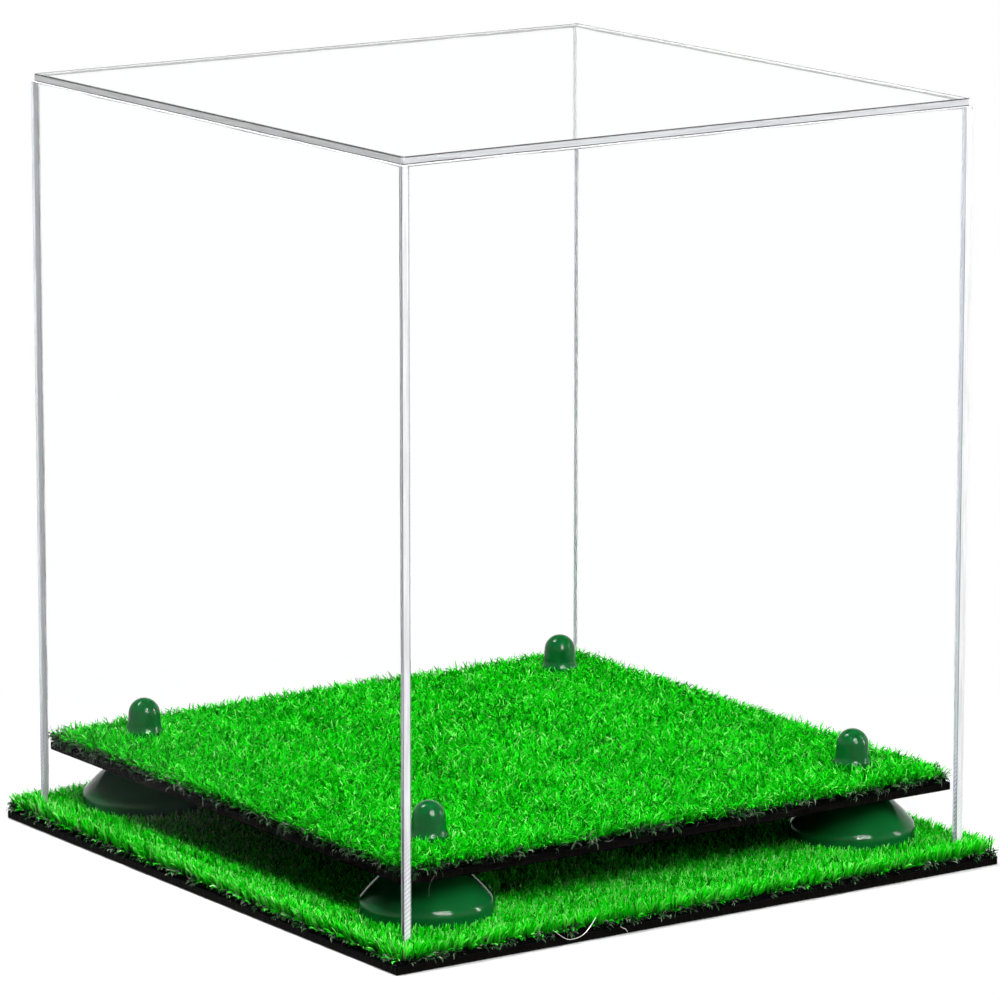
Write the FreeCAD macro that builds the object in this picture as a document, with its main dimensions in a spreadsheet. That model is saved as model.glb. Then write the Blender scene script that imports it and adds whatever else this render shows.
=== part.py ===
# Display case: a clear lift-off cover over a turfed base with a raised, turfed platform.
# Lengths are in millimetres. The origin is at the centre of the base's underside, +Z is up.
import FreeCAD
import Part
import Sketcher
import math
import os
from types import SimpleNamespace

# Driving dimensions
DRIVING = {
    "base_side": (273, "side of the square base plate"),
    "platform_side": (246, "side of the square platform plate"),
    "platform_level": (28.5, "underside of the platform above the ground"),
    "plate_thickness": (3, "black acrylic plates"),
    "plate_edge": (0.3, "broken edge of the black plates"),
    "cover_side": (254, "outside of the clear cover"),
    "cover_height": (292, "top of the cover above the ground"),
    "sheet_thickness": (3, "clear acrylic sheets"),
    "lid_inset": (0.8, "how far the cover's top stays inside its walls"),
    "lid_corner": (1.2, "rounding of the top sheet's corners"),
    "turf_inset": (1, "how far a turf mat stays inside its plate"),
    "backing_thickness": (1.5, "woven backing of the turf"),
    "pile_inset": (0.8, "how far the pile starts inside the backing's edge"),
    "pile_height": (6, "blades above the backing"),
    "pile_round": (2.5, "rounded upper edge of the pile"),
    "press_gap": (0.5, "pile pushed aside around what stands in it"),
    "riser_offset": (96.5, "riser and screw axes from the centre lines"),
    "riser_rim": (24, "radius of the riser's foot"),
    "riser_lip": (8, "upright lip of the riser's foot"),
    "riser_round": (4, "radius of the rounded rim above the lip"),
    "riser_flank": (69, "radius of the gently domed flank"),
    "riser_neck": (11.5, "radius of the collar under the platform"),
    "riser_collar": (2.5, "height of that collar"),
    "riser_root": (1, "rounded root of that collar"),
    "riser_wall": (2, "moulded wall thickness"),
    "riser_boss": (5.2, "radius of the boss around the screw"),
    "screw_shank": (2.5, "shank radius of the M5 screw"),
    "screw_length": (45, "overall length of the screw"),
    "screw_head": (4.7, "radius of the countersunk head"),
    "screw_head_rim": (0.2, "upright rim of the head"),
    "screw_sunk": (0.2, "head below the underside of the base"),
    "screw_point": (0.6, "chamfer at the screw's end"),
    "drive_width": (1.1, "width of the cross recess"),
    "drive_length": (4.4, "length of the cross recess"),
    "drive_depth": (1.5, "depth of the cross recess"),
    "hole_radius": (2.75, "clearance hole for the screw"),
    "cap_height": (17.6, "cap nut from its seat to its crown"),
    "cap_foot": (7.2, "radius of the cap nut's foot"),
    "cap_foot_height": (5, "upright part of that foot"),
    "cap_waist": (6.4, "radius above the flare"),
    "cap_waist_level": (8, "top of the flare"),
    "cap_flare": (6, "radius of the flare's curve"),
    "cap_crown": (6.08, "radius where the crown starts"),
    "cap_crown_drop": (5.6, "rise of the crown"),
    "cap_bore": (2.55, "radius of the blind thread"),
    "cap_bore_depth": (13, "depth of the blind thread"),
}


class Size:
    """A length: its number, for a first sketch, and the expression that ties it to the spreadsheet."""

    def __init__(self, number, text):
        self.number = number
        self.text = text

    def __add__(self, other):
        return Size(self.number + other.number, f"({self.text} + {other.text})")

    def __sub__(self, other):
        return Size(self.number - other.number, f"({self.text} - {other.text})")

    def __mul__(self, factor):
        return Size(self.number * factor, f"({self.text} * {factor})")


doc = FreeCAD.newDocument("football_display_case")
sheet = doc.addObject("Spreadsheet::Sheet", "sizes")
size = SimpleNamespace()
for row, (alias, (number, words)) in enumerate(DRIVING.items(), start=1):
    sheet.set(f"A{row}", words)
    sheet.set(f"B{row}", str(number))
    sheet.setAlias(f"B{row}", alias)
    setattr(size, alias, Size(number, f"sizes.{alias}"))
doc.recompute()

# Levels above the ground, from the bottom up
base_turf_level = size.plate_thickness
seat_level = base_turf_level + size.backing_thickness
platform_turf_level = size.platform_level + size.plate_thickness
cap_level = platform_turf_level + size.backing_thickness
lid_level = size.cover_height - size.sheet_thickness
turf_height = size.backing_thickness + size.pile_height

# Corners of the case, as signs along X and Y
CORNERS = {
    "front_left": (-1, -1),
    "front_right": (1, -1),
    "back_left": (-1, 1),
    "back_right": (1, 1),
}

ORIGIN = (-1, 1)
H_AXIS = -1
V_AXIS = -2
THROUGH_ALL = 1

sub_parts = []


# Bodies and sketches
def new_body(label):
    body = doc.addObject("PartDesign::Body", label)
    body.Label = label
    sub_parts.append(body)
    return body


def place(item, x=None, y=None, z=None):
    for axis, distance in (("x", x), ("y", y), ("z", z)):
        if distance is not None:
            item.setExpression(f"Placement.Base.{axis}", distance.text)


def new_sketch(body, name, role="XY_Plane", level=None):
    plane = next(p for p in body.Origin.OriginFeatures if p.Role == role)
    sketch = body.newObject("Sketcher::SketchObject", f"{body.Label}_{name}")
    sketch.AttachmentSupport = [(plane, "")]
    sketch.MapMode = "FlatFace"
    if level is not None:
        sketch.setExpression("AttachmentOffset.Base.z", level.text)
    return sketch


def bind(sketch, kind, name, where, distance):
    index = sketch.addConstraint(Sketcher.Constraint(kind, *where, distance.number))
    sketch.renameConstraint(index, name)
    sketch.setExpression(f"Constraints.{name}", distance.text)


def add_rectangle(sketch, name, width, depth):
    """A rectangle centred on the sketch's origin."""
    x, y = width.number / 2, depth.number / 2
    ends = [FreeCAD.Vector(a * x, b * y) for a, b in ((-1, -1), (1, -1), (1, 1), (-1, 1))]
    sides = [sketch.addGeometry(Part.LineSegment(ends[i], ends[(i + 1) % 4])) for i in range(4)]
    for i in range(4):
        sketch.addConstraint(Sketcher.Constraint("Coincident", sides[i], 2, sides[(i + 1) % 4], 1))
        sketch.addConstraint(Sketcher.Constraint("Vertical" if i % 2 else "Horizontal", sides[i]))
    sketch.addConstraint(Sketcher.Constraint("Symmetric", sides[0], 1, sides[1], 2, *ORIGIN))
    bind(sketch, "DistanceX", f"{name}_width", (sides[0], 1, sides[0], 2), width)
    bind(sketch, "DistanceY", f"{name}_depth", (sides[1], 1, sides[1], 2), depth)


def add_corner_circles(sketch, radius):
    """A circle on each of the four riser axes."""
    for corner, (x, y) in CORNERS.items():
        offset = size.riser_offset
        centre = FreeCAD.Vector(x * offset.number, y * offset.number)
        circle = sketch.addGeometry(Part.Circle(centre, FreeCAD.Vector(0, 0, 1), radius.number))
        bind(sketch, "DistanceX", f"{corner}_x", (*ORIGIN, circle, 3), offset * x)
        bind(sketch, "DistanceY", f"{corner}_y", (*ORIGIN, circle, 3), offset * y)
        bind(sketch, "Radius", f"{corner}_radius", (circle,), radius)


def add_arc(sketch, start, end, radius, side):
    """The shorter arc from start to end, bulging to the left of its chord for side 1, to the right for -1.

    Returns the arc and which of its own two ends lies at start.
    """
    half = (end - start) * 0.5
    left = FreeCAD.Vector(-half.y, half.x).normalize()
    centre = start + half - left * (math.sqrt(radius**2 - half.Length**2) * side)
    circle = Part.Circle(centre, FreeCAD.Vector(0, 0, 1), radius)
    angles = [math.atan2(end_point.y - centre.y, end_point.x - centre.x) for end_point in (start, end)]
    first = 2 if side > 0 else 1
    arc = sketch.addGeometry(Part.ArcOfCircle(circle, angles[first - 1], angles[2 - first]))
    return arc, first


def add_profile(sketch, points):
    """A closed outline. Each point is x, y and, where an arc leaves it, that arc's radius and side.

    A coordinate of None puts the point on the axis of the sketch. An arc with a radius of None ends on the
    upright axis and has its centre there.
    """
    number = [FreeCAD.Vector(x.number if x else 0, y.number if y else 0) for x, y, *_ in points]
    legs = []
    for i, (_, _, *arc) in enumerate(points):
        start, end = number[i], number[(i + 1) % len(points)]
        if arc:
            rise = abs(end.y - start.y)
            radius = arc[0].number if arc[0] else (start.x**2 + rise**2) / (2 * rise)
            legs.append(add_arc(sketch, start, end, radius, arc[1]))
        else:
            legs.append((sketch.addGeometry(Part.LineSegment(start, end)), 1))
    for i, (x, y, *arc) in enumerate(points):
        leg, first = legs[i]
        before, before_first = legs[i - 1]
        sketch.addConstraint(Sketcher.Constraint("Coincident", before, 3 - before_first, leg, first))
        if x:
            bind(sketch, "DistanceX", f"x{i}", (*ORIGIN, leg, first), x)
        else:
            sketch.addConstraint(Sketcher.Constraint("PointOnObject", leg, first, V_AXIS))
        if y:
            bind(sketch, "DistanceY", f"y{i}", (*ORIGIN, leg, first), y)
        else:
            sketch.addConstraint(Sketcher.Constraint("PointOnObject", leg, first, H_AXIS))
        if arc and arc[0]:
            bind(sketch, "Radius", f"radius{i}", (leg,), arc[0])
        elif arc:
            sketch.addConstraint(Sketcher.Constraint("PointOnObject", leg, 3, V_AXIS))


# Features
def pad(body, sketch, length):
    feature = body.newObject("PartDesign::Pad", f"{sketch.Label}_pad")
    feature.Profile = sketch
    feature.setExpression("Length", length.text)
    sketch.Visibility = False
    doc.recompute()
    return feature


def pocket(body, sketch, depth=None, upwards=False):
    """Cuts down from the sketch, or up, to a depth or right through."""
    volume = body.Shape.Volume
    feature = body.newObject("PartDesign::Pocket", f"{sketch.Label}_pocket")
    feature.Profile = sketch
    feature.Reversed = upwards
    if depth is None:
        feature.Type = THROUGH_ALL
    else:
        feature.setExpression("Length", depth.text)
    doc.recompute()
    if not body.Shape.Volume < volume:
        raise RuntimeError(f"{feature.Label} cuts nothing")
    return feature


def revolve(body, sketch):
    feature = body.newObject("PartDesign::Revolution", f"{sketch.Label}_turned")
    feature.Profile = sketch
    feature.ReferenceAxis = (sketch, ["V_Axis"])
    feature.Angle = 360
    doc.recompute()
    return feature


def soften(body, kind, name, wanted, amount):
    """A chamfer or fillet on the edges of the last feature that wanted picks."""
    base = body.Tip
    names = [f"Edge{i}" for i, edge in enumerate(base.Shape.Edges, start=1) if wanted(edge)]
    feature = body.newObject(f"PartDesign::{kind}", f"{body.Label}_{name}")
    feature.Base = (base, names)
    feature.setExpression("Size" if kind == "Chamfer" else "Radius", amount.text)
    doc.recompute()
    return feature


def is_level(edge, z):
    return all(abs(vertex.Z - z) < 1e-6 for vertex in edge.Vertexes)


def is_round(edge):
    return isinstance(edge.Curve, Part.Circle)


# Black acrylic plates, drilled for the screws
def make_plate(label, side, level=None):
    body = new_body(label)
    outline = new_sketch(body, "outline")
    add_rectangle(outline, "plate", side, side)
    pad(body, outline, size.plate_thickness)
    soften(body, "Chamfer", "broken_edges", lambda edge: True, size.plate_edge)
    holes = new_sketch(body, "holes", level=size.plate_thickness)
    add_corner_circles(holes, size.hole_radius)
    pocket(body, holes)
    place(body, z=level)
    return body


base_plate = make_plate("base_plate", size.base_side)
countersink = size.screw_head + size.screw_head_rim + size.screw_sunk - size.hole_radius
soften(
    base_plate,
    "Chamfer",
    "countersinks",
    lambda edge: is_round(edge) and is_level(edge, 0),
    countersink,
)


# Turf mats: a woven backing with a pile that is pressed down under whatever stands on it
def make_turf(label, plate_side, level, pressed_radius, pressed_wall):
    body = new_body(label)
    mat_side = plate_side - size.turf_inset * 2
    pile_side = mat_side - size.pile_inset * 2
    backing = new_sketch(body, "backing")
    add_rectangle(backing, "backing", mat_side, mat_side)
    pad(body, backing, size.backing_thickness)
    pile = new_sketch(body, "pile", level=size.backing_thickness)
    add_rectangle(pile, "pile", pile_side, pile_side)
    pad(body, pile, size.pile_height)
    top = turf_height.number
    soften(body, "Fillet", "pile_edge", lambda edge: is_level(edge, top), size.pile_round)
    seats = new_sketch(body, "seats", level=turf_height)
    add_corner_circles(seats, pressed_radius)
    pocket(body, seats, size.pile_height)
    if pressed_wall:
        groove = new_sketch(body, "groove", level=turf_height)
        outer = size.cover_side + size.press_gap * 2
        inner = size.cover_side - size.sheet_thickness * 2 - size.press_gap * 2
        add_rectangle(groove, "outer", outer, outer)
        add_rectangle(groove, "inner", inner, inner)
        pocket(body, groove, size.pile_height)
    holes = new_sketch(body, "holes", level=turf_height)
    add_corner_circles(holes, size.hole_radius)
    pocket(body, holes)
    place(body, z=level)


make_turf("base_turf", size.base_side, base_turf_level, size.riser_rim + size.press_gap, True)


# Risers: moulded domes, hollow inside, with a boss that takes the screw's pull
RIM_TURN = math.radians(40)


def on_neck(edge):
    return abs(edge.Curve.Radius - size.riser_neck.number) < 1e-6


def make_riser(label, x, y):
    body = new_body(label)
    height = size.platform_level - seat_level
    dome_top = height - size.riser_collar
    roof = height - size.riser_wall
    inner_rim = size.riser_rim - size.riser_wall
    inner_neck = size.riser_neck - size.riser_wall
    inner_round = size.riser_round - size.riser_wall
    inner_flank = size.riser_flank - size.riser_wall
    round_middle = size.riser_rim - size.riser_round
    section = new_sketch(body, "section", "XZ_Plane")
    add_profile(
        section,
        [
            (size.riser_rim, None),
            (size.riser_rim, size.riser_lip, size.riser_round, -1),
            (
                round_middle + size.riser_round * math.cos(RIM_TURN),
                size.riser_lip + size.riser_round * math.sin(RIM_TURN),
                size.riser_flank,
                -1,
            ),
            (size.riser_neck, dome_top),
            (size.riser_neck, height),
            (size.hole_radius, height),
            (size.hole_radius, None),
            (size.riser_boss, None),
            (size.riser_boss, roof),
            (inner_neck, roof),
            (inner_neck, dome_top - size.riser_wall * 0.5, inner_flank, 1),
            (
                round_middle + inner_round * math.cos(RIM_TURN),
                size.riser_lip + inner_round * math.sin(RIM_TURN),
                inner_round,
                1,
            ),
            (inner_rim, size.riser_lip),
            (inner_rim, None),
        ],
    )
    revolve(body, section)
    soften(
        body,
        "Fillet",
        "collar_root",
        lambda edge: is_round(edge) and is_level(edge, dome_top.number) and on_neck(edge),
        size.riser_root,
    )
    place(body, x, y, seat_level)


# Screws: countersunk, with a cross recess, put in from under the base
def make_screw(label, x, y):
    body = new_body(label)
    cone_top = size.screw_head_rim + size.screw_head - size.screw_shank
    section = new_sketch(body, "section", "XZ_Plane")
    add_profile(
        section,
        [
            (None, None),
            (size.screw_head, None),
            (size.screw_head, size.screw_head_rim),
            (size.screw_shank, cone_top),
            (size.screw_shank, size.screw_length - size.screw_point),
            (size.screw_shank - size.screw_point, size.screw_length),
            (None, size.screw_length),
        ],
    )
    revolve(body, section)
    for name, width, depth in (
        ("drive_x", size.drive_length, size.drive_width),
        ("drive_y", size.drive_width, size.drive_length),
    ):
        recess = new_sketch(body, name)
        add_rectangle(recess, name, width, depth)
        pocket(body, recess, size.drive_depth, upwards=True)
    place(body, x, y, size.screw_sunk)


# Cap nuts: domed, flared at the foot, with a blind thread
def make_cap_nut(label, x, y):
    body = new_body(label)
    section = new_sketch(body, "section", "XZ_Plane")
    add_profile(
        section,
        [
            (size.cap_bore, None),
            (size.cap_foot, None),
            (size.cap_foot, size.cap_foot_height, size.cap_flare, 1),
            (size.cap_waist, size.cap_waist_level),
            (size.cap_crown, size.cap_height - size.cap_crown_drop, None, -1),
            (None, size.cap_height),
            (None, size.cap_bore_depth),
            (size.cap_bore, size.cap_bore_depth),
        ],
    )
    revolve(body, section)
    place(body, x, y, cap_level)


for corner, (sign_x, sign_y) in CORNERS.items():
    axis_x = size.riser_offset * sign_x
    axis_y = size.riser_offset * sign_y
    make_riser(f"riser_{corner}", axis_x, axis_y)
    make_screw(f"screw_{corner}", axis_x, axis_y)
    make_cap_nut(f"cap_nut_{corner}", axis_x, axis_y)

make_plate("platform_plate", size.platform_side, size.platform_level)
make_turf(
    "platform_turf",
    size.platform_side,
    platform_turf_level,
    size.cap_foot + size.press_gap,
    False,
)


# Clear cover: four walls glued edge to edge, the side walls outside the front and back ones
def make_wall(label, width, depth, x, y):
    wall = doc.addObject("Part::Box", label)
    wall.Label = label
    wall.setExpression("Length", width.text)
    wall.setExpression("Width", depth.text)
    wall.setExpression("Height", (lid_level - seat_level).text)
    place(wall, x, y, seat_level)
    sub_parts.append(wall)


outside = size.cover_side * 0.5
inside = outside - size.sheet_thickness
between = size.cover_side - size.sheet_thickness * 2
make_wall("cover_front_wall", between, size.sheet_thickness, inside * -1, outside * -1)
make_wall("cover_back_wall", between, size.sheet_thickness, inside * -1, inside)
make_wall("cover_left_wall", size.sheet_thickness, size.cover_side, outside * -1, outside * -1)
make_wall("cover_right_wall", size.sheet_thickness, size.cover_side, inside, outside * -1)

# The cover's top lies on the walls and stays a little inside them
cover_top = new_body("cover_top")
lid_side = size.cover_side - size.lid_inset * 2
lid_outline = new_sketch(cover_top, "outline")
add_rectangle(lid_outline, "lid", lid_side, lid_side)
pad(cover_top, lid_outline, size.sheet_thickness)
soften(
    cover_top,
    "Fillet",
    "corners",
    lambda edge: not is_level(edge, edge.Vertexes[0].Z),
    size.lid_corner,
)
place(cover_top, z=lid_level)

# Every object has to be sound before anything is written
doc.recompute()
for item in doc.Objects:
    if "Invalid" in item.State or "Error" in item.State:
        raise RuntimeError(f"{item.Label} failed: {item.State}")
os.makedirs("parts", exist_ok=True)
for part in sub_parts:
    if part.Shape.isNull() or not part.Shape.isValid() or len(part.Shape.Solids) != 1:
        raise RuntimeError(f"{part.Label} isn't one sound solid")
for part in sub_parts:
    part.Shape.exportStep(f"parts/{part.Label}.step")
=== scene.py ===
import math

import bpy
import numpy as np
from mathutils import Matrix, Vector


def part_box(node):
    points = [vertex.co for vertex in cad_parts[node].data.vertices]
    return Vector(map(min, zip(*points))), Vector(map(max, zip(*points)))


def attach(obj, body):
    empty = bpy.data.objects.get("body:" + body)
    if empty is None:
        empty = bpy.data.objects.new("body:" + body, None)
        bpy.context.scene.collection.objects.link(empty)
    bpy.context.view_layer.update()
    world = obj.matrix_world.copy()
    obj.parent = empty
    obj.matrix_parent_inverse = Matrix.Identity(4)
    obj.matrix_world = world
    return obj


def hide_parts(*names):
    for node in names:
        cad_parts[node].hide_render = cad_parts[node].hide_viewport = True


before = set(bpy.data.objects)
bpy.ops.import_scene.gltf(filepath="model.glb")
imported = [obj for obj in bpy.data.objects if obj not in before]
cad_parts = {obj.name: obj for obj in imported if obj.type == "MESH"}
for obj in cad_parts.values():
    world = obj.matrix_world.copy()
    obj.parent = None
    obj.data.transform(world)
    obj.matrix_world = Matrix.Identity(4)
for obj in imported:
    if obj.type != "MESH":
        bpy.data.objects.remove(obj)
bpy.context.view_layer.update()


# Base plate: a square of black cast acrylic that everything stands on, sawn from sheet and drilled for four
# screws. Its faces are polished and hold some dust and smears. Its sawn edges are duller, show saw marks and
# are coloured a darker black than the faces, a painted shade.
MM = 0.001
ACRYLIC_IOR = 1.49
FACE_BLACK, FACE_DUST = (0.004, 0.004, 0.005), (0.014, 0.013, 0.012)
# The sawn edges' black is darker than the faces' black: a painted shade on the sides.
EDGE_PAINTED_SHADE_BLACK, EDGE_SCUFF = (0.001, 0.001, 0.001), (0.006, 0.005, 0.004)


def new_finish(name, **values):
    """A material with one Principled shader, and these values on the shader's sockets."""
    material = bpy.data.materials.new(name)
    material.use_nodes = True
    shader = material.node_tree.nodes["Principled BSDF"]
    for socket, value in values.items():
        shader.inputs[socket.replace("_", " ")].default_value = value
    return material, shader


def feed(tree, socket, source):
    """Sets an input to a plain value, or links it to another node's output."""
    if isinstance(source, bpy.types.NodeSocket):
        tree.links.new(source, socket)
    else:
        socket.default_value = source


def add_node(tree, kind, inputs=(), **settings):
    """A node with these settings. The inputs are values or outputs, in the sockets' order or by socket."""
    node = tree.nodes.new("ShaderNode" + kind)
    for setting, value in settings.items():
        setattr(node, setting, value)
    named = inputs.items() if isinstance(inputs, dict) else enumerate(inputs)
    for socket, source in named:
        feed(tree, node.inputs[socket], source)
    return node


def sums(tree, operation, *inputs):
    """The result of a sum with one or two numbers."""
    return add_node(tree, "Math", inputs, operation=operation).outputs[0]


def spread_of(tree, source, low, high, to_low=0.0, to_high=1.0):
    """The source, spread from one range over another and held to its ends."""
    return add_node(tree, "MapRange", (source, low, high, to_low, to_high)).outputs[0]


def between(tree, share, first, second):
    """A number between two others. A Mix node takes its numbers on inputs 2 and 3."""
    return add_node(tree, "Mix", {0: share, 2: first, 3: second}).outputs[0]


def two_tone(tree, share, first, second, way="MIX"):
    """A mix of two colours, each a tuple or a node's output. A Mix node takes them on inputs 6 and 7."""
    first, second = ((*colour, 1) if isinstance(colour, tuple) else colour for colour in (first, second))
    mix = add_node(tree, "Mix", {0: share, 6: first, 7: second}, data_type="RGBA", blend_type=way)
    return mix.outputs[2]


def place_on(tree):
    """Where a point of the surface lies on its piece, in metres."""
    return add_node(tree, "TexCoord").outputs["Object"]


def facing(tree, axis):
    """How squarely the surface faces along one of the piece's axes, from 0 to 1."""
    normal = add_node(tree, "TexCoord").outputs["Normal"]
    parts = add_node(tree, "SeparateXYZ", (normal,))
    return sums(tree, "ABSOLUTE", parts.outputs[axis])


def grain(tree, scale, detail, stretch=(1, 1, 1)):
    """Noise fixed to the piece. The scale is in grains to the metre, times the stretch along each axis."""
    shaped = add_node(tree, "Mapping", {"Vector": place_on(tree), "Scale": stretch}).outputs[0]
    noise = add_node(tree, "TexNoise", {"Vector": shaped, "Scale": scale, "Detail": detail})
    return noise.outputs["Fac"]


def add_bump(material, shader, height, depth, strength=1.0):
    """Raises the surface by up to the depth where the height is 1."""
    bump = add_node(material.node_tree, "Bump", {"Strength": strength, "Distance": depth, "Height": height})
    feed(material.node_tree, shader.inputs["Normal"], bump.outputs[0])


def make_black_acrylic():
    material, shader = new_finish("black_acrylic", IOR=ACRYLIC_IOR, Specular_IOR_Level=0.01)
    tree = material.node_tree
    edge = spread_of(tree, facing(tree, "Z"), 0.6, 0.4)
    dust = spread_of(tree, grain(tree, 1400, 5), 0.56, 0.75, 0.0, 0.5)
    saw_marks = grain(tree, 1, 2, (1600, 1600, 120))
    face_colour = two_tone(tree, dust, FACE_BLACK, FACE_DUST)
    # The sides get a darker black than the faces: a painted shade.
    edge_colour = two_tone(tree, saw_marks, EDGE_PAINTED_SHADE_BLACK, EDGE_SCUFF)
    feed(tree, shader.inputs["Base Color"], two_tone(tree, edge, face_colour, edge_colour))
    face_gloss = spread_of(tree, grain(tree, 60, 4), 0.35, 0.7, 0.07, 0.2)
    edge_gloss = spread_of(tree, saw_marks, 0.3, 0.7, 0.2, 0.32)
    feed(tree, shader.inputs["Roughness"], between(tree, edge, face_gloss, edge_gloss))
    add_bump(material, shader, sums(tree, "MULTIPLY", saw_marks, edge), 0.15 * MM, 0.3)
    return material


def dress(node, material):
    """Gives a piece of the frame its finish."""
    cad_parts[node].data.materials.clear()
    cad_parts[node].data.materials.append(material)


black_acrylic = make_black_acrylic()
dress("base_plate", black_acrylic)


# Base turf: a mat of artificial grass, glued on the base plate. Flat polyethylene blades stand in tufts in a
# black woven backing, whose cut edge frays. The risers and the cover's walls push the pile aside.
CORNERS = {"front_left": (-1, -1), "front_right": (1, -1), "back_left": (-1, 1), "back_right": (1, 1)}
RISERS = [f"riser_{corner}" for corner in CORNERS]
SCREWS = [f"screw_{corner}" for corner in CORNERS]
BACKING = 1.5 * MM
TUFT_STEP = 2.1 * MM
TUFT_SPREAD = 0.45 * MM
BLADES_IN_TUFT = 9
STATIONS = np.array([0.0, 0.35, 0.7, 1.0])
STATION_WIDTH = np.array([0.8, 1.0, 0.85, 0.45])
# Pale cut tips: partly the whitened cut ends, partly a painted highlight for the blades' glints.
CUT_TIP_AND_PAINTED_GLINT = (0.7, 0.98, 0.55)
GREENS = (
    (0.0, (0.001, 0.12, 0.001)),
    (0.3, (0.004, 0.50, 0.004)),
    (0.55, (0.007, 0.86, 0.005)),
    (0.8, (0.018, 0.97, 0.011)),
    (0.93, (0.160, 0.98, 0.095)),
    (1.0, (0.650, 0.98, 0.550)),
)
# Yarn colours, and the dark green that the hanging grass takes, a painted shade.
YARN_AND_PAINTED_SHADE_GREENS = (
    (0.0, (0.003, 0.004, 0.003)),
    (0.45, (0.024, 0.040, 0.023)),
    (0.75, (0.105, 0.150, 0.100)),
    (0.85, (0.005, 0.090, 0.012)),
    (1.0, (0.380, 0.480, 0.350)),
)


def darken(tree, colour, share):
    """The colour times a share from 0, black, to 1."""
    return two_tone(tree, 1.0, colour, share, "MULTIPLY")


def shade_blades(name, stops, painted_root_shade, tip_and_painted_glint_share, **values):
    """A finish for blades or yarn. A blade's tint picks its colour from the stops, and its root is darker, a
    painted shade for the shade deep in the pile.

    The brighter blades turn pale at their cut tips, by up to the share given: partly whitened cut ends,
    partly a painted highlight for the blades' glints.
    """
    material, shader = new_finish(name, **values)
    tree = material.node_tree
    tint = add_node(tree, "Attribute", attribute_name="tint").outputs["Fac"]
    along = add_node(tree, "Attribute", attribute_name="along").outputs["Fac"]
    shades = add_node(tree, "ValToRGB", (tint,))
    ramp = shades.color_ramp.elements
    ramp.remove(ramp[1])
    ramp[0].position, ramp[0].color = stops[0][0], (*stops[0][1], 1)
    for position, colour in stops[1:]:
        ramp.new(position).color = (*colour, 1)
    # The root end is darkened: a painted shade for the shade deep in the pile.
    root = spread_of(tree, along, 0.0, 0.75, painted_root_shade, 1.0)
    # Pale tips on the brightest blades: partly whitened cut ends, partly a painted highlight.
    bright = spread_of(tree, tint, 0.74, 0.88, 0.0, tip_and_painted_glint_share)
    tip = sums(tree, "MULTIPLY", spread_of(tree, along, 0.72, 1.0), bright)
    tipped = two_tone(tree, tip, darken(tree, shades.outputs[0], root), CUT_TIP_AND_PAINTED_GLINT)
    feed(tree, shader.inputs["Base Color"], tipped)
    return material


def make_backing_finish():
    """Black woven tape yarn with some pale lint."""
    material, shader = new_finish("turf_backing", Roughness=0.75, Specular_IOR_Level=0.0)
    tree = material.node_tree
    lint = spread_of(tree, grain(tree, 2600, 4), 0.6, 0.72)
    colour = two_tone(tree, lint, (0.003, 0.003, 0.003), (0.02, 0.028, 0.02))
    feed(tree, shader.inputs["Base Color"], colour)
    warp, weft = grain(tree, 1, 1, (900, 250, 900)), grain(tree, 1, 1, (250, 900, 900))
    add_bump(material, shader, sums(tree, "MULTIPLY", warp, weft), 0.6 * MM)
    return material


def make_pale_fibre():
    material, shader = new_finish("pale_fibre", Roughness=0.4)
    tree = material.node_tree
    shades = two_tone(tree, grain(tree, 700, 2), (0.3, 0.3, 0.27), (0.72, 0.74, 0.66))
    feed(tree, shader.inputs["Base Color"], shades)
    return material


def new_mesh(name, points, faces):
    """A mesh of faces that all have the same number of corners."""
    mesh = bpy.data.meshes.new(name)
    mesh.vertices.add(len(points))
    mesh.vertices.foreach_set("co", points.astype(np.float32).ravel())
    mesh.loops.add(faces.size)
    mesh.loops.foreach_set("vertex_index", faces.astype(np.int32).ravel())
    mesh.polygons.add(len(faces))
    mesh.polygons.foreach_set("loop_start", np.arange(len(faces), dtype=np.int32) * faces.shape[1])
    mesh.update(calc_edges=True)
    mesh.shade_smooth()
    return mesh


def new_piece(mesh, body, material):
    """A piece of that mesh and finish, which rides on the body."""
    piece = bpy.data.objects.new(mesh.name, mesh)
    bpy.context.scene.collection.objects.link(piece)
    mesh.materials.append(material)
    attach(piece, body)
    return piece


def mesh_of(curve):
    """The mesh of a curve, under the curve's name."""
    shape = bpy.data.objects.new(curve.name + "_route", curve)
    mesh = bpy.data.meshes.new_from_object(shape)
    mesh.name = curve.name
    bpy.data.objects.remove(shape)
    return mesh


def posts_of(nodes):
    """The middle and the radius of each round node, seen from above."""
    found = []
    for node in nodes:
        low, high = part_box(node)
        found.append(((low.x + high.x) / 2, (low.y + high.y) / 2, (high.x - low.x) / 2))
    return found


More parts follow.
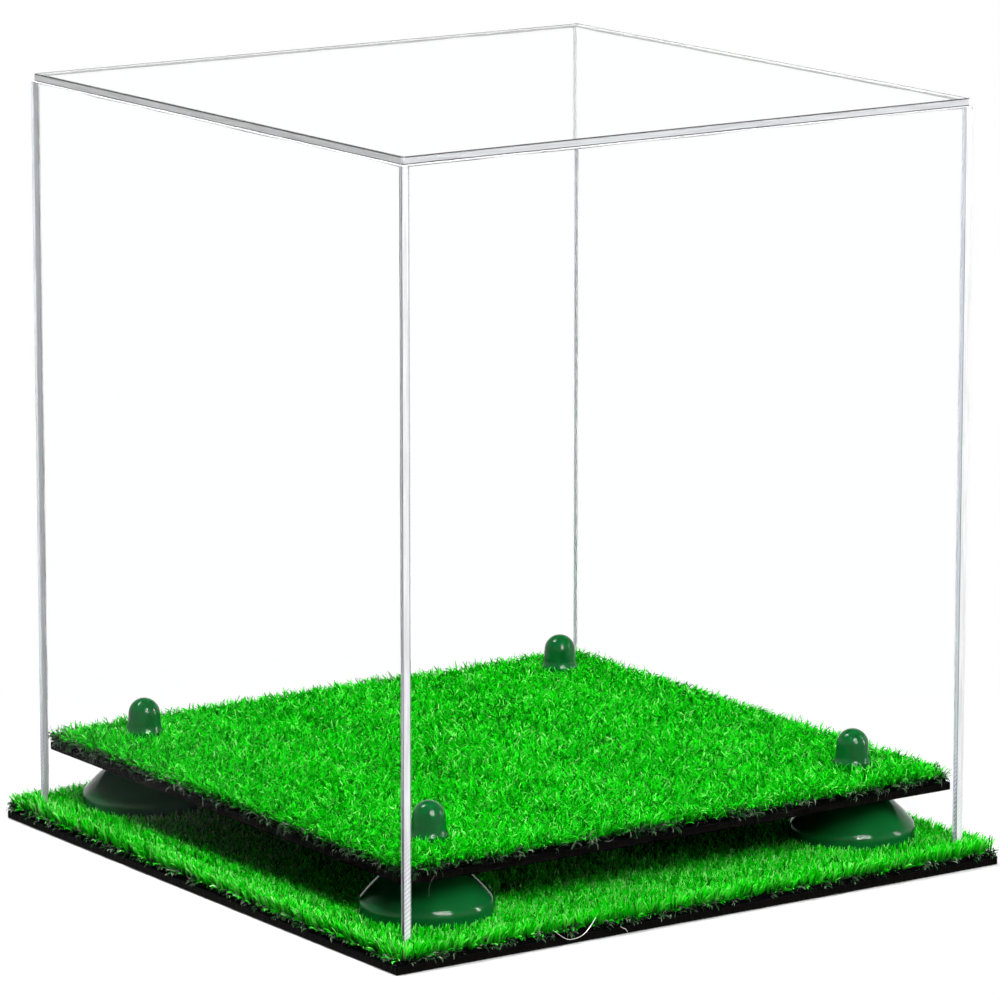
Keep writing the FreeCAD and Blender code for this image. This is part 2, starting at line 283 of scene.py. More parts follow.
def cut_backing(name, node, seed):
    """The woven mat: a slab with an unevenly cut edge and holes for the screws."""
    low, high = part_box(node)
    half = high.x
    edge_step, inset, unevenness = 1.3 * MM, 0.2 * MM, 0.3 * MM
    hole_radius, hole_sides = 2.75 * MM, 24
    rng = np.random.default_rng(seed)
    steps = np.arange(-half, half, edge_step)
    outline = []
    for quarter in range(4):
        turned = Matrix.Rotation(quarter * math.pi / 2, 2)
        uneven = rng.normal(0, unevenness, len(steps))
        edge = [(along, -half + inset + abs(off)) for along, off in zip(steps, uneven)]
        outline += [turned @ Vector(point) for point in edge]
    turns = np.linspace(0, 2 * math.pi, hole_sides, endpoint=False)
    holes = []
    for x, y, _ in posts_of(SCREWS):
        hole = [(x + hole_radius * math.cos(turn), y + hole_radius * math.sin(turn)) for turn in turns]
        holes.append([Vector(point) for point in hole])
    curve = bpy.data.curves.new(name, "CURVE")
    curve.dimensions, curve.fill_mode, curve.extrude = "2D", "BOTH", BACKING / 2
    for ring in (outline, *holes):
        spline = curve.splines.new("POLY")
        spline.points.add(len(ring) - 1)
        spline.points.foreach_set("co", [value for point in ring for value in (point.x, point.y, 0, 1)])
        spline.use_cyclic_u = True
    mesh = mesh_of(curve)
    mesh.transform(Matrix.Translation((0, 0, low.z + BACKING / 2)))
    return new_piece(mesh, "base", backing_finish)


def ribbons(roots, heading, lean, bend, length, width, twist):
    """The points of flat blades that curve over towards their headings, as blade x station x side x 3."""
    count = len(roots)
    angle = lean[:, None] + bend[:, None] * STATIONS**2
    along = np.stack([np.sin(angle) * np.cos(heading)[:, None],
                      np.sin(angle) * np.sin(heading)[:, None],
                      np.cos(angle)], axis=2)
    steps = np.diff(STATIONS)[None, :, None] * length[:, None, None]
    middle = np.zeros((count, len(STATIONS), 3))
    middle[:, 1:] = np.cumsum((along[:, :-1] + along[:, 1:]) / 2 * steps, axis=1)
    middle += roots[:, None]
    across = np.stack([-np.sin(heading), np.cos(heading), np.zeros(count)], axis=1)[:, None]
    face_on = np.cross(along, across)
    turn = (twist[:, :1] + twist[:, 1:] * STATIONS)[..., None]
    half_width = (width[:, None] * STATION_WIDTH / 2)[..., None]
    side = (np.cos(turn) * across + np.sin(turn) * face_on) * half_width
    return np.stack([middle - side, middle + side], axis=2)


def blade_mesh(name, points, tint):
    """The mesh of some blades, with each one's tint and the way along it for the finish to read."""
    total = len(points)
    corner = np.array([[0, 1, 3, 2]]) + 2 * np.arange(len(STATIONS) - 1)[:, None]
    faces = (corner + 2 * len(STATIONS) * np.arange(total)[:, None, None]).reshape(-1, 4)
    mesh = new_mesh(name, points.reshape(-1, 3), faces)
    tints = np.repeat(tint, 2 * len(STATIONS))
    alongs = np.tile(np.repeat(STATIONS, 2), total)
    for label, values in (("tint", tints), ("along", alongs)):
        layer = mesh.attributes.new(label, "FLOAT", "POINT")
        layer.data.foreach_set("value", values.astype(np.float32))
    chart_left, chart_width, chart_foot, chart_height = 0.005, 0.02, 0.01, 0.98
    across = np.tile([0.0, chart_width], total * len(STATIONS))
    chart = np.stack([chart_left + tints + across, chart_foot + chart_height * alongs], axis=1)
    chart = chart[faces.ravel()].astype(np.float32)
    mesh.uv_layers.new(name="OFBake").uv.foreach_set("vector", chart.ravel())
    return mesh


def fray_edge(name, node, plate, limit, longest, drop, seed):
    """Loose yarn ends in clumps along the mat's cut edge, with blades of grass among them. The grass takes
    dark greens, a painted shade for the shade it hangs in.

    Some hang over the plate's edge, by up to the drop, and none reaches past the limit.
    """
    low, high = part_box(node)
    clumps_per_mm, ends_per_mm = 0.8, 6
    clump_spread, plate_gap = 0.6 * MM, 0.1 * MM
    grass_size, lint_share, lint_tint = 1.6, 0.06, 0.97
    rng = np.random.default_rng(seed)
    edge_in_mm = 8 * high.x / MM
    clumps, count = int(edge_in_mm * clumps_per_mm), int(edge_in_mm * ends_per_mm)
    bulk = rng.gamma(0.8, 1, clumps)
    clump = rng.choice(clumps, count, p=bulk / bulk.sum())
    side = rng.integers(0, 4, clumps)[clump]
    along = rng.uniform(-high.x, high.x, clumps)[clump] + rng.normal(0, clump_spread, count)
    along = np.clip(along, -high.x, high.x)
    out = high.x - rng.uniform(0.3, 0.9, count) * MM
    turn = side * math.pi / 2
    roots = np.stack([along * np.cos(turn) + out * np.sin(turn),
                      along * np.sin(turn) - out * np.cos(turn),
                      low.z + rng.uniform(0.2, 2.6, count) * MM], axis=1)
    grass = rng.random(count) < rng.uniform(0.0, 0.7, clumps)[clump]
    heading = turn - math.pi / 2 + rng.normal(0, 0.8, count)
    lean = rng.uniform(0.7, 1.7, count)
    bend = np.where(grass, rng.normal(1.4, 0.5, count), rng.normal(0.2, 1.2, count))
    length = np.minimum(rng.gamma(4, 0.17, count) * np.where(grass, grass_size, 1) * longest, longest)
    width = rng.uniform(0.15, 0.45, count) * np.where(grass, grass_size, 1) * MM
    twist = rng.uniform(-1.5, 1.5, (count, 2))
    points = ribbons(roots, heading, lean, bend, length, width, twist)
    points[..., :2] = np.clip(points[..., :2], -limit, limit)
    over = np.abs(points[..., :2]).max(axis=-1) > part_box(plate)[1].x + plate_gap
    points[..., 2] = np.maximum(points[..., 2], np.where(over, low.z - drop, low.z + 0.03 * MM))
    yarn = rng.beta(0.9, 2.6, clumps)[clump] * 0.6 + rng.uniform(0.0, 0.14, count)
    # The grass among the yarn takes the stops' dark greens: a painted shade.
    tint = np.where(grass, rng.uniform(0.8, 0.93, count), yarn)
    tint[rng.random(count) < lint_share] = lint_tint
    return new_piece(blade_mesh(name, points, tint), "base", yarn_and_painted_shade_grass_finish)


def drift(x, y, seed):
    """A slow, smooth wander over the mat, about -1 to 1."""
    usual_peak = 2.5
    rng = np.random.default_rng(seed)
    total = np.zeros_like(x)
    for wave in (70 * MM, 38 * MM, 21 * MM, 12 * MM):
        turn, phase = rng.uniform(0, 2 * math.pi, 2)
        total += np.sin((x * math.cos(turn) + y * math.sin(turn)) * 2 * math.pi / wave + phase)
    return total / usual_peak


def set_tufts(half, rng):
    """Where the blades stand on a square mat, and how far each is from its tuft's middle, in spreads."""
    lines = np.arange(-half, half, TUFT_STEP)
    tufts = np.stack(np.meshgrid(lines, lines), axis=2).reshape(-1, 2) + TUFT_STEP / 2
    tufts += rng.uniform(-0.45, 0.45, tufts.shape) * TUFT_STEP
    offset = rng.normal(0, TUFT_SPREAD, (len(tufts), BLADES_IN_TUFT, 2))
    return (tufts[:, None] + offset).reshape(-1, 2), offset.reshape(-1, 2) / TUFT_SPREAD


def keep_off_posts(points, posts):
    """Moves points out of the round posts that stand in the pile."""
    gap, tiny = 0.15 * MM, 1e-6
    for x, y, radius in posts:
        away = points[..., :2] - (x, y)
        distance = np.linalg.norm(away, axis=-1)
        short = np.maximum(radius + gap - distance, 0) / np.maximum(distance, tiny)
        points[..., :2] += away * short[..., None]


def keep_off_walls(points, at, walls):
    """Moves points out of the cover's walls, back to the side of them that their blade stands on."""
    gap = 0.12 * MM
    inner, outer = walls
    inside = np.abs(at).max(axis=1) < inner
    points[inside, ..., :2] = np.clip(points[inside][..., :2], -inner + gap, inner - gap)
    for axis in range(2):
        out = ~inside & (np.abs(at[:, axis]) > outer)
        sign = np.sign(at[out, axis])[:, None, None]
        points[out, ..., axis] = sign * np.maximum(points[out, ..., axis] * sign, outer + gap)


def grow_pile(name, node, posts, walls, limit, sparse, widest, curl, bright, seed):
    """The standing blades of a mat, in four quarters. They keep off the posts and the cover's walls.

    They stand sparser than elsewhere up to the distance sparse from the mat's middle.
    """
    low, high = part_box(node)
    inset, root_gap = 0.2 * MM, 0.3 * MM
    rim, thin_rim, loose_rim, post_zone = 3 * MM, 1.2 * MM, 1.5 * MM, 5 * MM
    half, level = high.x - inset, low.z + BACKING - inset
    pile = high.z - low.z - BACKING
    rng = np.random.default_rng(seed)
    at, spread = set_tufts(half, rng)
    reach = np.abs(at).max(axis=1)
    clear = np.full(len(at), 1.0)
    for x, y, radius in posts:
        clear = np.minimum(clear, np.linalg.norm(at - (x, y), axis=1) - radius)
    keep = (reach < half) & (clear > root_gap)
    keep &= (reach < half - thin_rim) | (rng.random(len(at)) < 0.6)
    keep &= (reach > sparse) | (rng.random(len(at)) < 0.4)
    if walls:
        keep &= (reach < walls[0] - root_gap) | (reach > walls[1] + root_gap)
    at, spread, reach, clear = at[keep], spread[keep], reach[keep], clear[keep]
    count = len(at)

    nap = np.stack([drift(*at.T, seed + 1), drift(*at.T, seed + 2)], axis=1)
    wild = rng.normal(0, 1, (count, 2))
    edge = np.clip((reach - half + rim) / rim, 0, 1)
    outward = at * (np.abs(at) > half - rim) / half
    lie = 0.4 * nap + 0.7 * wild + 0.4 * spread + 1.5 * edge[:, None] * outward
    near = np.clip(1 - clear / post_zone, 0, 1)
    droop = (reach > half - loose_rim) & (rng.random(count) < 0.4)
    heading = np.arctan2(lie[:, 1], lie[:, 0])
    pull = np.clip(np.linalg.norm(lie, axis=1), 0.2, 2.2)
    lean = 0.04 + 0.13 * pull * rng.uniform(0.5, 1.3, count)
    lean[droop] += rng.uniform(0.3, 0.8, droop.sum())
    bend = curl * (1 - 0.4 * edge) * (1 - 0.5 * near) * (0.3 + pull) * rng.uniform(0.4, 1.5, count)
    bend[droop] = rng.uniform(0.9, 1.7, droop.sum())
    length = pile * rng.uniform(0.85, 1.12, count) * (1 + 0.1 * near) * np.where(droop, 0.75, 1)
    width = rng.uniform(0.5, 1.0, count) * widest
    twist = np.stack([rng.uniform(-1.3, 1.3, count), rng.normal(0, 0.7, count)], axis=1)
    roots = np.column_stack([at, np.full(count, level)])
    points = ribbons(roots, heading, lean, bend, length, width, twist)
    keep_off_posts(points, posts)
    if walls:
        keep_off_walls(points, at, walls)
    points[..., :2] = np.clip(points[..., :2], -limit, limit)

    fullest_green, palest = 0.88, 0.97
    # Blades near the mat's rim are tinted lighter: a painted light on the border.
    tint = bright + 0.27 * rng.normal(0, 1, count) + 0.07 * drift(*at.T, seed + 3) + 0.15 * edge
    # Drooping blades get a darker tint: a painted shade for the shade they hang in below the pile.
    tint[droop] -= 0.25
    # More blades are pale on the base's outer strip at the left: a painted light on the left border.
    painted_left_light = 0.12 * (at[:, 0] < -walls[1]) if walls else 0.0
    pale = rng.random(count) < 0.025 + 0.2 * (near > 0.7) + painted_left_light
    tint = np.where(pale, rng.uniform(fullest_green, palest, count), np.clip(tint, 0.0, fullest_green))
    pieces = []
    for corner, signs in CORNERS.items():
        here = ((at >= 0) == (np.array(signs) > 0)).all(axis=1)
        blades = blade_mesh(f"{name}_{corner}", points[here], tint[here])
        piece = new_piece(blades, "base", turf_finish)
        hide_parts(node)
        pieces.append(piece)
    return pieces


def spin_fibres(name, routes, thickness):
    """Loose fibres, each along a smooth route of points in mm."""
    curve = bpy.data.curves.new(name, "CURVE")
    curve.dimensions, curve.bevel_depth, curve.bevel_resolution = "3D", thickness / 2, 1
    for route in routes:
        spline = curve.splines.new("NURBS")
        spline.points.add(len(route) - 1)
        spline.points.foreach_set("co", [value for x, y, z in route for value in (x * MM, y * MM, z * MM, 1)])
        spline.order_u, spline.use_endpoint_u, spline.resolution_u = 3, True, 6
    return new_piece(mesh_of(curve), "base", pale_fibre)


turf_finish = shade_blades(
    "turf_blades", GREENS, painted_root_shade=0.12, tip_and_painted_glint_share=0.3, Roughness=0.25, IOR=1.5, Specular_IOR_Level=0.012,
    Specular_Tint=(0.4, 1.0, 0.4, 1))
yarn_and_painted_shade_grass_finish = shade_blades(
    "turf_yarn_and_painted_shade_grass", YARN_AND_PAINTED_SHADE_GREENS, painted_root_shade=0.6, tip_and_painted_glint_share=0.0, Roughness=0.6, IOR=1.5, Specular_IOR_Level=0.0)
backing_finish = make_backing_finish()
pale_fibre = make_pale_fibre()
wall_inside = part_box("cover_right_wall")[0].x
wall_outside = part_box("cover_right_wall")[1].x
base_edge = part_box("base_plate")[1].x
base_backing = cut_backing("base_turf_backing", "base_turf", seed=11)
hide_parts("base_turf")
base_fray = fray_edge(
    "base_turf_fray", "base_turf", "base_plate", limit=base_edge + 0.7 * MM, longest=3 * MM, drop=2.2 * MM,
    seed=12)
# The base mat's grass is tinted lighter than the platform's: a painted light.
base_pile = grow_pile(
    "base_pile", "base_turf", posts_of(RISERS), walls=(wall_inside, wall_outside), limit=base_edge + 0.8 * MM,
    sparse=90 * MM, widest=0.85 * MM, curl=0.45, bright=0.64, seed=13)
loop = (
    (-68.2, -136.0, 6.1), (-66.2, -136.8, 4.3), (-63.6, -137.1, 2.4), (-61.4, -137.1, 1.7),
    (-57.9, -137.1, 1.9), (-55.1, -137.0, 2.9), (-52.8, -136.9, 4.9), (-51.1, -136.6, 6.5),
    (-49.6, -136.3, 8.2))
lint = (
    (-39.0, -136.9, 3.1), (-37.9, -136.9, 2.3), (-37.0, -136.9, 2.1), (-36.4, -136.9, 1.4),
    (-35.9, -136.9, 0.6))
base_fibres = spin_fibres("base_turf_fibres", (loop, lint), thickness=0.26 * MM)


# Risers: hollow domes moulded in dark green plastic, which hold the platform above the turf. They come glossy
# from the mould, with a slight ripple, and pick up dust.
MOULDED_GREEN, GREEN_DUST = (0.004, 0.125, 0.025), (0.15, 0.27, 0.19)


def make_green_plastic():
    material, shader = new_finish("green_plastic", IOR=1.5, Specular_IOR_Level=0.14)
    tree = material.node_tree
    dust = spread_of(tree, grain(tree, 2400, 3), 0.69, 0.76, 0.0, 0.35)
    feed(tree, shader.inputs["Base Color"], two_tone(tree, dust, MOULDED_GREEN, GREEN_DUST))
    feed(tree, shader.inputs["Roughness"], spread_of(tree, grain(tree, 90, 3), 0.3, 0.7, 0.04, 0.09))
    add_bump(material, shader, grain(tree, 160, 1), 0.1 * MM, 0.15)
    return material


green_plastic = make_green_plastic()
for riser in RISERS:
    dress(riser, green_plastic)


# Screws: countersunk steel machine screws, put in from under the base plate. Only their heads show, from
# below, with some wear on the metal. The thread is a shallow ridge on the shank.
THREAD_PITCH = 0.8 * MM
THREAD_START, THREAD_FULL = 3 * MM, 3.2 * MM


def height_on(tree):
    """How high a point of the surface lies, in metres."""
    return add_node(tree, "SeparateXYZ", (place_on(tree),)).outputs["Z"]


def bands(tree, place, direction, pitch, distortion=0.0):
    """Even stripes of that pitch. A wave's own stripes are 20 radians to the metre, or 10 on the diagonal."""
    radians = {"Z": 20, "DIAGONAL": 10}[direction]
    values = {"Vector": place, "Scale": 2 * math.pi / (radians * pitch), "Distortion": distortion}
    return add_node(tree, "TexWave", values, bands_direction=direction).outputs["Fac"]


def make_screw_steel():
    material, shader = new_finish("screw_steel", Metallic=1.0)
    tree = material.node_tree
    wear = grain(tree, 1500, 4)
    feed(tree, shader.inputs["Base Color"], two_tone(tree, wear, (0.45, 0.45, 0.46), (0.68, 0.68, 0.7)))
    feed(tree, shader.inputs["Roughness"], spread_of(tree, wear, 0.3, 0.7, 0.22, 0.42))
    ridges = bands(tree, place_on(tree), "Z", THREAD_PITCH)
    shank = spread_of(tree, height_on(tree), THREAD_START, THREAD_FULL)
    add_bump(material, shader, sums(tree, "MULTIPLY", ridges, shank), 0.3 * MM)
    return material


screw_steel = make_screw_steel()
for screw in SCREWS:
    dress(screw, screw_steel)


# Platform plate: a second, smaller square of the same black acrylic, sawn and drilled like the base plate. It
# rests on the risers' collars, and the cap nuts pull it down on them.
dress("platform_plate", black_acrylic)


# Platform turf: the same grass, cut to the platform and more matted. The cap nuts stand in it, its edge
# blades hang over the plate a little, and a loose hair hangs from its front edge.
CAP_NUTS = [f"cap_nut_{corner}" for corner in CORNERS]
platform_limit = wall_inside - 0.3 * MM
platform_backing = cut_backing("platform_turf_backing", "platform_turf", seed=21)
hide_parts("platform_turf")
platform_fray = fray_edge(
    "platform_turf_fray", "platform_turf", "platform_plate", limit=platform_limit, longest=5.5 * MM,
    drop=4.2 * MM, seed=22)
# The platform's grass is tinted darker than the base mat's: a painted shade.
platform_pile = grow_pile(
    "platform_pile", "platform_turf", posts_of(CAP_NUTS), walls=None, limit=platform_limit,
    sparse=0.0, widest=0.68 * MM, curl=1.6, bright=0.45, seed=23)
hair = (
    (-112.2, -123.3, 30.6), (-113.5, -123.3, 28.9), (-114.4, -123.3, 26.9), (-114.6, -123.3, 25.0),
    (-114.5, -123.3, 23.3))
platform_fibres = spin_fibres("platform_turf_fibres", (hair,), thickness=0.06 * MM)


# Cap nuts: domed nuts with a flared foot, moulded in the same green plastic as the risers. They close the
# screws' ends and clamp the platform to the risers.
for cap_nut in CAP_NUTS:
    dress(cap_nut, green_plastic)


# Cover: five sheets of clear acrylic, cemented edge to edge into a box that is open below. Their faces are
# polished and clear. Their sawn edges are satin and pale, their corners are broken, and saw marks show near
# the turf. The broken corners carry a painted grey line, an edge seen from within its sheet takes a painted
# shade, and on the lid the sides are painted lighter and the front and back darker.
SAW_PITCH, SAW_SLANT = 1.7 * MM, 0.6
SAW_MARK = (0.28, 0.27, 0.42)
# The colour seen from within a wall's sheet is a painted shade, and the corner colours are painted grey
# lines.
WALL_EDGE, WALL_WITHIN_PAINTED_SHADE = (0.93, 0.94, 0.95), (0.75, 0.78, 0.86)
GREY_PAINTED_EDGE_LINE, PALE_PAINTED_EDGE_LINE = (0.55, 0.55, 0.6), (0.88, 0.88, 0.86)


def make_clear_acrylic(name, axis, sawn_colour, front_back_painted_colour, within, painted_edge_line, streak, saw_marks):
    """Clear sheet whose polished faces look along one axis. The lamps' light passes straight through it.

    Its sawn edges have one colour at the front and back, one at the sides and one seen from within. On the
    lid the front and back are painted darker and the sides lighter, the colour seen from within is a painted
    shade, and the broken corners carry a painted grey line.
    """
    material, satin = new_finish(name, IOR=ACRYLIC_IOR, Specular_IOR_Level=0.1)
    tree = material.node_tree
    squarely = facing(tree, axis)
    sawn = spread_of(tree, squarely, 0.95, 0.85)
    broken = spread_of(tree, squarely, 0.15, 0.3)

    slanted = add_node(tree, "Mapping", {"Vector": place_on(tree), "Scale": (-SAW_SLANT, SAW_SLANT, 1)})
    teeth = bands(tree, slanted.outputs[0], "DIAGONAL", SAW_PITCH, distortion=2.0)
    near_turf = spread_of(tree, height_on(tree), 52 * MM, 32 * MM, 0.0, saw_marks)
    marks = sums(tree, "MULTIPLY", spread_of(tree, teeth, 0.35, 0.05), near_turf)
    streaks = grain(tree, 1, 3, streak)
    # On the lid the sides are painted lighter and the front and back darker: painted light and shade.
    colour = two_tone(tree, spread_of(tree, facing(tree, "Y"), 0.4, 0.6), sawn_colour, front_back_painted_colour)
    colour = darken(tree, colour, spread_of(tree, streaks, 0.35, 0.65, 0.82, 1.0))
    # The broken corners take a painted grey line, and an edge seen from within the sheet a painted shade.
    from_within = add_node(tree, "NewGeometry").outputs["Backfacing"]
    for share, other in ((broken, painted_edge_line), (from_within, within), (marks, SAW_MARK)):
        colour = two_tone(tree, share, colour, other)
    feed(tree, satin.inputs["Base Color"], colour)
    feed(tree, satin.inputs["Roughness"], spread_of(tree, streaks, 0.3, 0.7, 0.25, 0.45))
    add_bump(material, satin, streaks, 0.06 * MM, 0.3)

    glass = {"Color": (0.998, 1.0, 1.0, 1), "Roughness": 0.0, "IOR": ACRYLIC_IOR}
    bent = add_node(tree, "BsdfRefraction", glass)
    mirror = add_node(tree, "BsdfGlossy", {"Color": (1, 1, 1, 1), "Roughness": 0.0})
    fresnel = add_node(tree, "Fresnel", {"IOR": ACRYLIC_IOR}).outputs[0]
    grazing = spread_of(tree, fresnel, 0.08, 1.0, 0.0, 0.6)
    polished = add_node(tree, "MixShader", (grazing, bent.outputs[0], mirror.outputs[0]))
    sheet = add_node(tree, "MixShader", (sawn, polished.outputs[0], satin.outputs[0]))
    path = add_node(tree, "LightPath")
    lamps = sums(tree, "MAXIMUM", path.outputs["Is Shadow Ray"], path.outputs["Is Diffuse Ray"])
    passing = add_node(tree, "BsdfTransparent", ((0.93, 0.93, 0.93, 1),))
    shown = add_node(tree, "MixShader", (lamps, sheet.outputs[0], passing.outputs[0]))
    feed(tree, tree.nodes["Material Output"].inputs["Surface"], shown.outputs[0])
    return material


def ease_edges(node, width):
    """Breaks a sheet's sharp edges, and keeps it a hair off the sheets that it is cemented to."""
    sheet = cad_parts[node]
    weld = sheet.modifiers.new("weld", "WELD")
    weld.merge_threshold = 0.001 * MM
    shrink = sheet.modifiers.new("cement gap", "DISPLACE")
    shrink.strength, shrink.mid_level = -0.04 * MM, 0.0
    ease = sheet.modifiers.new("broken edges", "BEVEL")
    ease.width, ease.segments, ease.limit_method = width, 2, "ANGLE"
    ease.use_clamp_overlap = False


for wall, axis, painted_edge_line, saw_marks in (
    ("cover_front_wall", "Y", GREY_PAINTED_EDGE_LINE, 0.95),
    ("cover_back_wall", "Y", GREY_PAINTED_EDGE_LINE, 0.0),
    ("cover_left_wall", "X", GREY_PAINTED_EDGE_LINE, 0.4),
    ("cover_right_wall", "X", PALE_PAINTED_EDGE_LINE, 0.1),
):
    wall_finish = make_clear_acrylic(
        wall + "_finish", axis, sawn_colour=WALL_EDGE, front_back_painted_colour=WALL_EDGE, within=WALL_WITHIN_PAINTED_SHADE,
        painted_edge_line=painted_edge_line, streak=(1600, 1600, 40), saw_marks=saw_marks)
    dress(wall, wall_finish)
    ease_edges(wall, 0.3 * MM)
lid_finish = make_clear_acrylic(
    # The lid's pale sides, darker front and back, dark colour within and near-black corner line are painted
    # light and shade.
    "cover_top_finish", "Z", sawn_colour=(0.97, 0.97, 0.975), front_back_painted_colour=(0.7, 0.71, 0.73),
    within=(0.13, 0.135, 0.135), painted_edge_line=(0.1, 0.1, 0.1), streak=(40, 40, 1600), saw_marks=0.0)
dress("cover_top", lid_finish)
ease_edges("cover_top", 0.45 * MM)


# Cement: solvent cement that was squeezed into the cover's inner corners and dried there. The beads are smoky
# grey, uneven ridges, darker under the lid than down the corners: the lid's dark grey is a painted shade for
# the dark line along its joint. Thin films lie in the two front joints, and their colours are painted light
# and shade.
CEMENT_GAP = 0.05 * MM
LID_BEAD, CORNER_BEAD = 0.8 * MM, 0.7 * MM
FILM_START, FILM_MIDDLE = 0.3 * MM, 1.3 * MM
CLEAR_FILM = (0.95, 0.95, 0.96)


def make_cement(name, dark, pale):
    material, shader = new_finish(name, Roughness=0.3, IOR=1.45)
    tree = material.node_tree
    clouds = spread_of(tree, grain(tree, 260, 4), 0.35, 0.65)
    feed(tree, shader.inputs["Base Color"], two_tone(tree, clouds, dark, pale))
    add_bump(material, shader, grain(tree, 700, 2), 0.2 * MM, 0.6)
    return material


def make_film(name, low, high):
    """A thin film in a joint, laid like a smear of cement, whose colours near the turf and higher up are
    painted light and shade.
    """
    material, shader = new_finish(name, Roughness=0.3, IOR=1.45)
    tree = material.node_tree
    cloudy = sums(tree, "ADD", height_on(tree), sums(tree, "MULTIPLY", grain(tree, 260, 4), 30 * MM))
    smear = two_tone(tree, spread_of(tree, cloudy, 60 * MM, 90 * MM), low, high)
    feed(tree, shader.inputs["Base Color"], smear)
    return material


def lay_bead(name, start, end, legs, size, seed, material):
    """A ridge with a hollow front, from start to end in a corner whose two faces run off along the legs."""
    stations, knot_step, hollowness = 120, 7, 0.2
    rng = np.random.default_rng(seed)
    share = np.linspace(0, 1, stations)[:, None]
    middle = np.array(start) * (1 - share) + np.array(end) * share
    knots = np.arange(0, stations, knot_step)
    wander = np.interp(np.arange(stations), knots, rng.uniform(0.75, 1.15, len(knots)))[:, None]
    first, second = (middle + np.array(leg) * size * wander for leg in legs)
    hollow = (first + second) / 2 * (1 - hollowness) + middle * hollowness
    rings = np.stack([middle, first, hollow, second], axis=1)
    corner = np.arange(4)
    ring = np.stack([corner, np.roll(corner, -1), np.roll(corner, -1) + 4, corner + 4], axis=1)
    sides = (ring + 4 * np.arange(stations - 1)[:, None, None]).reshape(-1, 4)
    caps = np.array([[3, 2, 1, 0], np.arange(4) + 4 * (stations - 1)])
    mesh = new_mesh(name, rings.reshape(-1, 3), np.concatenate([sides, caps]))
    new_piece(mesh, "cover", material)


foot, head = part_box("base_turf")[1].z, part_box("cover_top")[0].z - CEMENT_GAP
inside = wall_inside - CEMENT_GAP
# The beads under the lid are dark grey, a painted shade for the dark line along the lid's joint.
lid_cement_painted_shade = make_cement("lid_cement_painted_shade", (0.13, 0.13, 0.13), (0.26, 0.26, 0.26))
corner_cement = make_cement("corner_cement", (0.6, 0.6, 0.64), (0.78, 0.78, 0.82))
for turn, (side, corner) in enumerate((
    ("front", "front_left"),
    ("right", "front_right"),
    ("back", "back_right"),
    ("left", "back_left"),
)):
    turned = np.array(Matrix.Rotation(turn * math.pi / 2, 3, "Z"))
    here, there = turned @ (-inside, -inside, 0), turned @ (inside, -inside, 0)
    along, inward, down = turned @ (1, 0, 0), turned @ (0, 1, 0), np.array((0, 0, -1))
    low, high = np.array((0, 0, foot)), np.array((0, 0, head))
    lay_bead(f"cement_under_lid_{side}", here + high, there + high, (inward, down), LID_BEAD,
             40 + turn, lid_cement_painted_shade)
    lay_bead(f"cement_{corner}", here + low, here + high, (along, inward), CORNER_BEAD,
             50 + turn, corner_cement)
# The films paint light and shade seen in the front joints: pale and dark green near the turf on the left,
# lavender grey on the right.
for joint, x, start, end, low_colour, high_colour in (
    ("front_left_outer", -wall_inside, FILM_START - wall_outside, FILM_MIDDLE - wall_outside,
     (0.7, 0.85, 0.68), CLEAR_FILM),
    ("front_left_inner", -wall_inside, FILM_MIDDLE - wall_outside, -wall_inside,
     (0.03, 0.06, 0.03), CLEAR_FILM),
    ("front_right", wall_inside, FILM_START - wall_outside, -wall_inside,
     (0.4, 0.39, 0.58), (0.6, 0.6, 0.72)),
):
    film = np.array([(x, start, foot), (x, end, foot), (x, end, head), (x, start, head)])
    film_mesh = new_mesh(f"cement_film_{joint}", film, np.arange(4)[None])
    film_finish = make_film(f"film_cement_{joint}", low_colour, high_colour)
    new_piece(film_mesh, "cover", film_finish)


# Stage: a white floor and backdrop. Three soft lamps: the main one in front and above, a second overhead, a
# little to the left and the back, and a strip on the right. Each has a twin close to it that shows only as a
# glint on what is glossy.
LAMPS_AIM = (0, 0, 0.05)


def make_floor():
    """A round floor just under the case, which turns to plain white away from it."""
    radius, sides, level = 9.0, 64, -0.2 * MM
    fade_start, fade_end = 0.14, 0.32
    turns = np.linspace(0, 2 * math.pi, sides, endpoint=False)
    ring = np.column_stack([np.cos(turns) * radius, np.sin(turns) * radius, np.full(sides, level)])
    mesh = new_mesh("floor", ring, np.arange(sides)[None])
    floor = bpy.data.objects.new("floor", mesh)
    bpy.context.scene.collection.objects.link(floor)
    material, shader = new_finish("floor_white", Roughness=0.9, Specular_IOR_Level=0.0)
    tree = material.node_tree
    path = add_node(tree, "LightPath")
    bounce = two_tone(tree, path.outputs["Is Diffuse Ray"], (0.9, 0.9, 0.9), (0.2, 0.2, 0.2))
    feed(tree, shader.inputs["Base Color"], bounce)
    seen = sums(tree, "MAXIMUM", path.outputs["Is Camera Ray"], path.outputs["Is Glossy Ray"])
    seen = sums(tree, "MAXIMUM", seen, path.outputs["Is Transmission Ray"])
    away = add_node(tree, "VectorMath", (place_on(tree),), operation="LENGTH").outputs["Value"]
    far = add_node(tree, "MapRange", (away, fade_start, fade_end), interpolation_type="SMOOTHSTEP").outputs[0]
    white = add_node(tree, "Emission", ((1, 1, 1, 1), 1.0))
    plain = sums(tree, "MULTIPLY", seen, far)
    shown = add_node(tree, "MixShader", (plain, shader.outputs[0], white.outputs[0]))
    feed(tree, tree.nodes["Material Output"].inputs["Surface"], shown.outputs[0])
    mesh.materials.append(material)


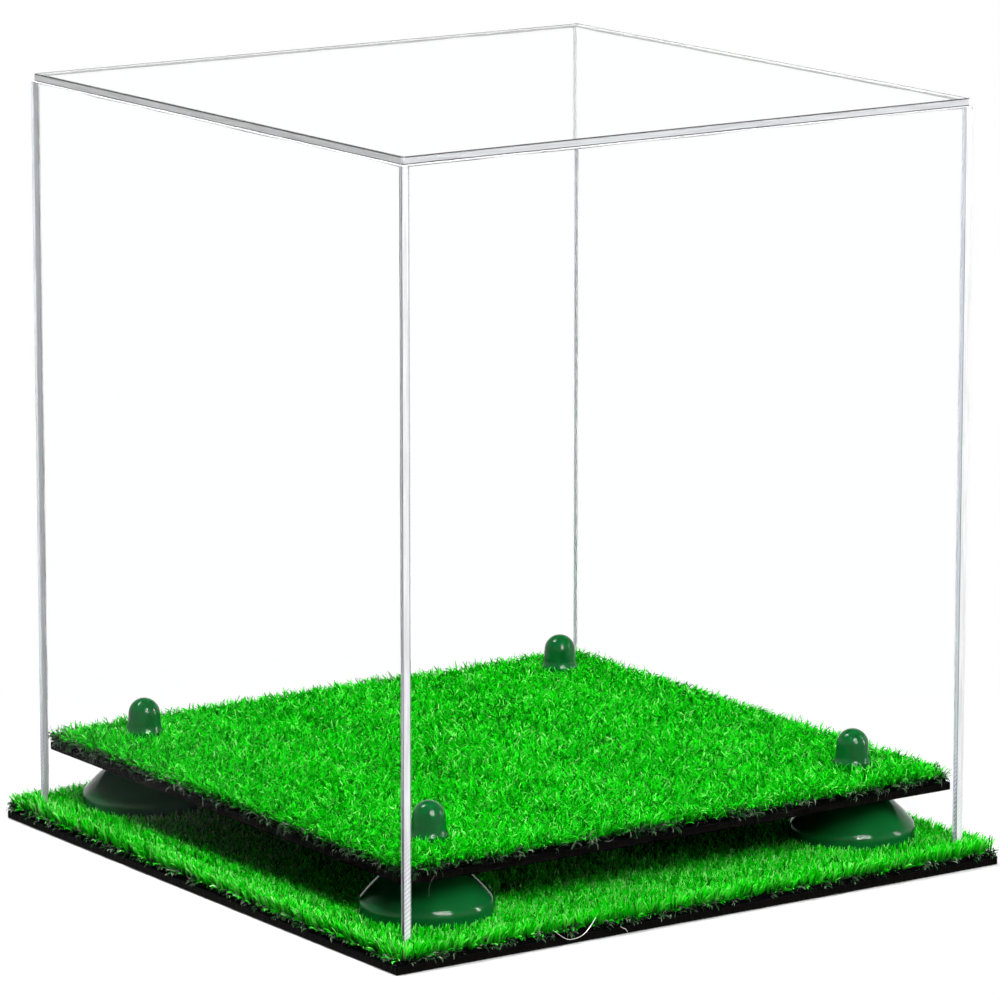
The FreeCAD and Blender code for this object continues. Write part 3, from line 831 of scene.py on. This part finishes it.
def make_world():
    """A faint fill light, and a white backdrop for what the camera, gloss and glass show."""
    fill_light = 0.05
    world = bpy.data.worlds.new("studio")
    bpy.context.scene.world = world
    world.use_nodes = True
    tree = world.node_tree
    path = add_node(tree, "LightPath")
    mirrored = sums(tree, "MAXIMUM", path.outputs["Is Glossy Ray"], path.outputs["Is Transmission Ray"])
    direction = add_node(tree, "TexCoord").outputs["Generated"]
    height = add_node(tree, "SeparateXYZ", (direction,)).outputs["Z"]
    backdrop = spread_of(tree, height, 0.3, 0.6, 1.0, 0.1)
    level = between(tree, mirrored, fill_light, backdrop)
    background = tree.nodes["Background"]
    background.inputs["Color"].default_value = (1, 1, 1, 1)
    feed(tree, background.inputs["Strength"], sums(tree, "MAXIMUM", level, path.outputs["Is Camera Ray"]))


def hang_softbox(name, place, width, height, power, lights=True, glints=True):
    """A soft lamp that lights what is dull, shows as a glint on what is glossy, or both."""
    lamp = bpy.data.lights.new(name, "AREA")
    lamp.shape, lamp.size, lamp.size_y, lamp.energy = "RECTANGLE", width, height, power
    softbox = bpy.data.objects.new(name, lamp)
    softbox.location = place
    softbox.rotation_euler = (Vector(LAMPS_AIM) - Vector(place)).to_track_quat("-Z", "Y").to_euler()
    softbox.visible_camera, softbox.visible_diffuse = False, lights
    softbox.visible_glossy = softbox.visible_transmission = glints
    bpy.context.scene.collection.objects.link(softbox)


make_floor()
make_world()
for name, place, width, height, power in (
    ("softbox_front", (-0.36, -1.3, 1.25), 0.5, 1.0, 26),
    ("softbox_above", (-0.52, 0.34, 1.83), 0.55, 0.5, 31),
    ("softbox_right", (1.3, -0.85, 0.42), 0.22, 0.95, 11),
):
    hang_softbox(name, place, width, height, power, glints=False)
for name, place, width, height, power in (
    ("glint_front", (-0.252, -1.432, 0.99), 0.74, 1.15, 560),
    ("glint_above", (-0.594, 0.663, 1.59), 0.55, 0.5, 170),
    ("glint_right", (1.287, -0.842, 0.41), 0.22, 0.95, 70),
):
    hang_softbox(name, place, width, height, power, lights=False)


# Camera: a long lens in front of the case, to its left and a little above it, so that the front corner stands
# left of the middle and the lid is seen almost edge-on.
VIEW_DIRECTION = (0.5546, 0.8069, -0.2033)
camera = bpy.data.objects.new("camera", bpy.data.cameras.new("camera"))
bpy.context.scene.collection.objects.link(camera)
camera.location = (-1.3948, -2.0321, 0.6452)
camera.rotation_euler = Vector(VIEW_DIRECTION).to_track_quat("-Z", "Y").to_euler()
camera.data.sensor_width = 36
camera.data.lens = 238.9
camera.data.clip_end = 50
bpy.context.scene.camera = camera
bpy.context.scene.view_settings.view_transform = "Standard"
